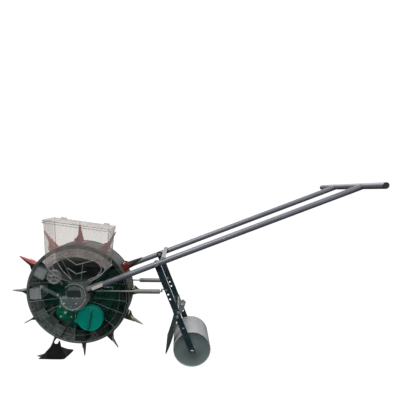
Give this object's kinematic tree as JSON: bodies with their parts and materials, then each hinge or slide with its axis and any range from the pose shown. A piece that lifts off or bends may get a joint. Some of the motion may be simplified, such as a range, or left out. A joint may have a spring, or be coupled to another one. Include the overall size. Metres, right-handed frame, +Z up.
{
  "type": "push seeder",
  "caption": "Walk-behind rotary drum seeder with opening beaks, side hopper, long twin-tube handle, cover blades and a press roller.",
  "frame": {"origin": "on the ground, below the middle of the object's box", "axes": "+X from the drum towards the handle bar, +Y to the far side, away from the hopper, +Z up"},
  "size_m": [1.3843, 0.453, 0.7482],
  "materials": {
    "tube_steel": "smooth grey coat",
    "bar_steel": "dark blue-grey satin coat",
    "zinc": "zinc plated",
    "bright_steel": "turned",
    "clear_plastic": "clear moulded plastic",
    "smoky_plastic": "smoky clear plastic",
    "drum_green": "moulded, satin",
    "cup_plastic": "moulded, satin",
    "flange_green": "moulded, gloss",
    "cap_teal": "moulded, satin gloss",
    "beak_red": "moulded, gloss",
    "black_plastic": "moulded, matt",
    "black_steel": "black coat",
    "jaw_zinc": "yellow zinc plated",
    "white_plastic": "natural nylon",
    "roller_grey": "light grey coat, worn",
    "roller_disc": "dark grey-green coat",
    "bristle": "nylon bristle"
  },
  "bodies": {
    "frame": {"main_axle": "bright_steel", "frame_bolts": "zinc", "tube_socket": "zinc", "far_bracket": "zinc", "lower_tube_near": "tube_steel", "lower_tube_far": "tube_steel", "upper_tube_near": "tube_steel", "upper_tube_far": "tube_steel", "tube_spigots": "bright_steel", "crossbar": "tube_steel", "crossbar_plugs": "black_plastic", "tube_brace": "zinc", "side_cover": "smoky_plastic", "hub_housing": "clear_plastic", "hopper_bin": "clear_plastic", "hopper_funnel": "clear_plastic", "funnel_guides": "clear_plastic", "cover_brace": "clear_plastic", "metering_flange": "flange_green", "cover_screws": "zinc", "seed_brush": "bristle", "front_shoe": "black_steel"},
    "drum": {"drum_rim": "smoky_plastic", "drum_near_ring": "smoky_plastic", "drum_far_disc": "drum_green", "drum_hub": "black_plastic", "drum_bearings": "bright_steel", "drum_gear": "white_plastic", "seed_cups": "cup_plastic", "beak_sockets": "beak_red", "fixed_jaws": "black_steel", "jaw_pins": "bright_steel", "jaw_springs": "bright_steel", "rim_screws": "zinc"},
    "lid": {"hopper_lid": "clear_plastic"},
    "cap": {"clean_out_cap": "cap_teal"},
    "knob": {"rate_knob": "clear_plastic"},
    "metering": {"metering_roller": "white_plastic", "metering_gear": "white_plastic"},
    "arms": {"rear_arms": "bar_steel", "lower_arms": "bar_steel", "arm_bolts": "zinc", "cover_blades": "black_steel", "roller_axle": "bright_steel"},
    "rods": {"lift_rods": "zinc", "rod_sleeves": "zinc"},
    "roller": {"roller_shell": "roller_grey", "roller_ends": "roller_disc"},
    "jaw_01": {"moving_jaw_01": "jaw_zinc"},
    "jaw_02": {"moving_jaw_02": "jaw_zinc"},
    "jaw_03": {"moving_jaw_03": "jaw_zinc"},
    "jaw_04": {"moving_jaw_04": "jaw_zinc"},
    "jaw_05": {"moving_jaw_05": "jaw_zinc"},
    "jaw_06": {"moving_jaw_06": "jaw_zinc"},
    "jaw_07": {"moving_jaw_07": "jaw_zinc"},
    "jaw_08": {"moving_jaw_08": "jaw_zinc"},
    "jaw_09": {"moving_jaw_09": "jaw_zinc"},
    "jaw_10": {"moving_jaw_10": "jaw_zinc"},
    "jaw_11": {"moving_jaw_11": "jaw_zinc"},
    "jaw_12": {"moving_jaw_12": "jaw_zinc"}
  },
  "joints": [
    {"name": "drum_spin", "type": "hinge", "parent": "frame", "child": "drum", "pos_m": [-0.39965, 0, 0.2925], "axis": [0, 1, 0], "continuous": true},
    {"name": "metering_spin", "type": "hinge", "parent": "frame", "child": "metering", "pos_m": [-0.44733, 0, 0.22517], "axis": [0, 1, 0], "continuous": true},
    {"name": "lid_hinge", "type": "hinge", "parent": "frame", "child": "lid", "pos_m": [-0.47727, -0.055, 0.60847], "axis": [-0.9918, 0, 0.1282], "range_deg": [0, 100]},
    {"name": "cap_twist", "type": "hinge", "parent": "frame", "child": "cap", "pos_m": [-0.34565, 0, 0.2068], "axis": [0, -1, 0], "range_deg": [0, 45]},
    {"name": "knob_turn", "type": "hinge", "parent": "frame", "child": "knob", "pos_m": [-0.48265, 0, 0.3735], "axis": [0, -1, 0], "range_deg": [0, 270]},
    {"name": "arm_swing", "type": "hinge", "parent": "frame", "child": "arms", "pos_m": [-0.08105, 0, 0.4347], "axis": [0, 1, 0], "range_deg": [-8, 8]},
    {"name": "rod_tilt", "type": "hinge", "parent": "arms", "child": "rods", "pos_m": [-0.04317, 0, 0.32784], "axis": [0, 1, 0], "range_deg": [-10, 10]},
    {"name": "roller_spin", "type": "hinge", "parent": "arms", "child": "roller", "pos_m": [0.06129, 0, 0.07591], "axis": [0, 1, 0], "continuous": true},
    {"name": "jaw_open_01", "type": "hinge", "parent": "drum", "child": "jaw_01", "pos_m": [-0.18465, 0, 0.3075], "axis": [0, -1, 0], "range_deg": [0, 25], "stiffness_Nm_per_rad": 0.4, "springref_deg": -17.19},
    {"name": "jaw_open_02", "type": "hinge", "parent": "drum", "child": "jaw_02", "pos_m": [-0.22096, 0, 0.41299], "axis": [0, -1, 0], "range_deg": [0, 25], "stiffness_Nm_per_rad": 0.4, "springref_deg": -17.19},
    {"name": "jaw_open_03", "type": "hinge", "parent": "drum", "child": "jaw_03", "pos_m": [-0.30514, 0, 0.48619], "axis": [0, -1, 0], "range_deg": [0, 25], "stiffness_Nm_per_rad": 0.4, "springref_deg": -17.19},
    {"name": "jaw_open_04", "type": "hinge", "parent": "drum", "child": "jaw_04", "pos_m": [-0.41465, 0, 0.5075], "axis": [0, -1, 0], "range_deg": [0, 25], "stiffness_Nm_per_rad": 0.4, "springref_deg": -17.19},
    {"name": "jaw_open_05", "type": "hinge", "parent": "drum", "child": "jaw_05", "pos_m": [-0.52014, 0, 0.47119], "axis": [0, -1, 0], "range_deg": [0, 25], "stiffness_Nm_per_rad": 0.4, "springref_deg": -17.19},
    {"name": "jaw_open_06", "type": "hinge", "parent": "drum", "child": "jaw_06", "pos_m": [-0.59335, 0, 0.38701], "axis": [0, -1, 0], "range_deg": [0, 25], "stiffness_Nm_per_rad": 0.4, "springref_deg": -17.19},
    {"name": "jaw_open_07", "type": "hinge", "parent": "drum", "child": "jaw_07", "pos_m": [-0.61465, 0, 0.2775], "axis": [0, -1, 0], "range_deg": [0, 25], "stiffness_Nm_per_rad": 0.4, "springref_deg": -17.19},
    {"name": "jaw_open_08", "type": "hinge", "parent": "drum", "child": "jaw_08", "pos_m": [-0.57835, 0, 0.17201], "axis": [0, -1, 0], "range_deg": [0, 25], "stiffness_Nm_per_rad": 0.4, "springref_deg": -17.19},
    {"name": "jaw_open_09", "type": "hinge", "parent": "drum", "child": "jaw_09", "pos_m": [-0.49416, 0, 0.09881], "axis": [0, -1, 0], "range_deg": [0, 25], "stiffness_Nm_per_rad": 0.4, "springref_deg": -17.19},
    {"name": "jaw_open_10", "type": "hinge", "parent": "drum", "child": "jaw_10", "pos_m": [-0.38465, 0, 0.0775], "axis": [0, -1, 0], "range_deg": [0, 25], "stiffness_Nm_per_rad": 0.4, "springref_deg": -17.19},
    {"name": "jaw_open_11", "type": "hinge", "parent": "drum", "child": "jaw_11", "pos_m": [-0.27916, 0, 0.11381], "axis": [0, -1, 0], "range_deg": [0, 25], "stiffness_Nm_per_rad": 0.4, "springref_deg": -17.19},
    {"name": "jaw_open_12", "type": "hinge", "parent": "drum", "child": "jaw_12", "pos_m": [-0.20596, 0, 0.19799], "axis": [0, -1, 0], "range_deg": [0, 25], "stiffness_Nm_per_rad": 0.4, "springref_deg": -17.19}
  ],
  "couplings": [
    {"joint": "metering_spin", "follows": "drum_spin", "ratio": -2},
    {"joint": "rod_tilt", "follows": "arm_swing", "ratio": -0.865}
  ]
}
